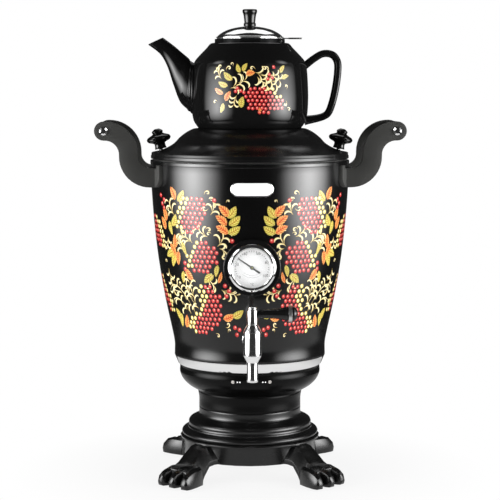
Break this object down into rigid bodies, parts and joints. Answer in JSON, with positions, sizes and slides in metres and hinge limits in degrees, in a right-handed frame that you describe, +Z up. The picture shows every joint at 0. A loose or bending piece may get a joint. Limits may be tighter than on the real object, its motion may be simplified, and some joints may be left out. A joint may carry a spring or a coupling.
{
  "type": "electric samovar with teapot",
  "caption": "Black electric samovar on paw feet with a dial thermometer, a lever tap, two side handles and a glazed teapot with infuser standing on its lid.",
  "frame": {"origin": "centre of the bounding box's underside, on the floor under the feet", "axes": "+Z up, -Y towards the tap and the dial, +X towards the tap's lever"},
  "size_m": [0.3032, 0.2194, 0.4602],
  "materials": {
    "enamel_black": "glossy black enamel, painted with berries, leaves and scrolls",
    "satin_black": "smooth semi-gloss black paint",
    "matte_black": "fine-grained heat-proof plastic, matte",
    "gloss_black": "polished heat-proof plastic",
    "glaze_black": "black glaze, painted panel on the front",
    "chrome": "polished",
    "steel": "satin stainless",
    "brass": "machined",
    "rubber": "matte",
    "silicone": "matte, heat-proof",
    "dial_white": "printed scale",
    "clear_glass": "clear",
    "plate_silver": "satin, bare",
    "lamp_lens": "frosted"
  },
  "bodies": {
    "stand": {"body_shell": "enamel_black", "paw_base": "satin_black", "pedestal": "satin_black", "bowl": "satin_black", "gauge_housing": "satin_black", "thermostat": "matte_black", "rear_panel": "matte_black", "handle_left": "matte_black", "handle_right": "matte_black", "grip_left": "gloss_black", "grip_right": "gloss_black", "chrome_band": "chrome", "gauge_bezel": "chrome", "gauge_screw": "chrome", "tap_body": "chrome", "tap_bonnet": "chrome", "grip_screw_left_front": "chrome", "grip_screw_left_back": "chrome", "grip_screw_right_front": "chrome", "grip_screw_right_back": "chrome", "bottom_cover": "steel", "tank": "steel", "heating_element": "steel", "tie_rod": "steel", "tie_nut": "steel", "gauge_stem": "steel", "handle_bolt_left": "steel", "handle_bolt_right": "steel", "inlet_pin_left": "brass", "inlet_pin_middle": "brass", "inlet_pin_right": "brass", "tap_nut": "brass", "foot_pad_front_left": "rubber", "foot_pad_front_right": "rubber", "foot_pad_back_left": "rubber", "foot_pad_back_right": "rubber", "tap_gasket": "rubber", "lid_seal": "silicone", "gauge_dial": "dial_white", "gauge_glass": "clear_glass", "nameplate": "plate_silver", "lamp_left": "lamp_lens", "lamp_right": "lamp_lens"},
    "tap_valve": {"tap_plug": "chrome", "tap_cap": "chrome", "tap_lever": "matte_black", "lever_ring": "chrome"},
    "gauge_pointer": {"gauge_needle": "matte_black"},
    "samovar_lid": {"lid": "satin_black", "lid_knob_left": "gloss_black", "lid_knob_right": "gloss_black", "lid_knob_screw_left": "steel", "lid_knob_screw_right": "steel"},
    "teapot_body": {"teapot": "glaze_black"},
    "infuser_basket": {"infuser": "steel"},
    "teapot_lid": {"pot_lid": "steel", "pot_lid_knob": "gloss_black"},
    "power_rocker": {"switch_rocker": "gloss_black"}
  },
  "joints": [
    {"name": "tap_turn", "type": "hinge", "parent": "stand", "child": "tap_valve", "pos_m": [0, -0.10102, 0.15], "axis": [0, 0, -1], "range_deg": [0, 90]},
    {"name": "pointer_turn", "type": "hinge", "parent": "stand", "child": "gauge_pointer", "pos_m": [0, -0.0885, 0.2147], "axis": [0, 1, 0], "range_deg": [-79, 190]},
    {"name": "lid_lift", "type": "slide", "parent": "stand", "child": "samovar_lid", "axis": [0, 0, 1], "range_m": [0, 0.12]},
    {"name": "teapot_lift", "type": "slide", "parent": "samovar_lid", "child": "teapot_body", "axis": [0, 0, 1], "range_m": [0, 0.12]},
    {"name": "infuser_lift", "type": "slide", "parent": "teapot_body", "child": "infuser_basket", "axis": [0, 0, 1], "range_m": [0, 0.09]},
    {"name": "teapot_lid_lift", "type": "slide", "parent": "infuser_basket", "child": "teapot_lid", "axis": [0, 0, 1], "range_m": [0, 0.05]},
    {"name": "rocker_tip", "type": "hinge", "parent": "stand", "child": "power_rocker", "pos_m": [0.018, 0.07798, 0.0961], "axis": [1, 0, 0], "range_deg": [-16, 0]}
  ]
}
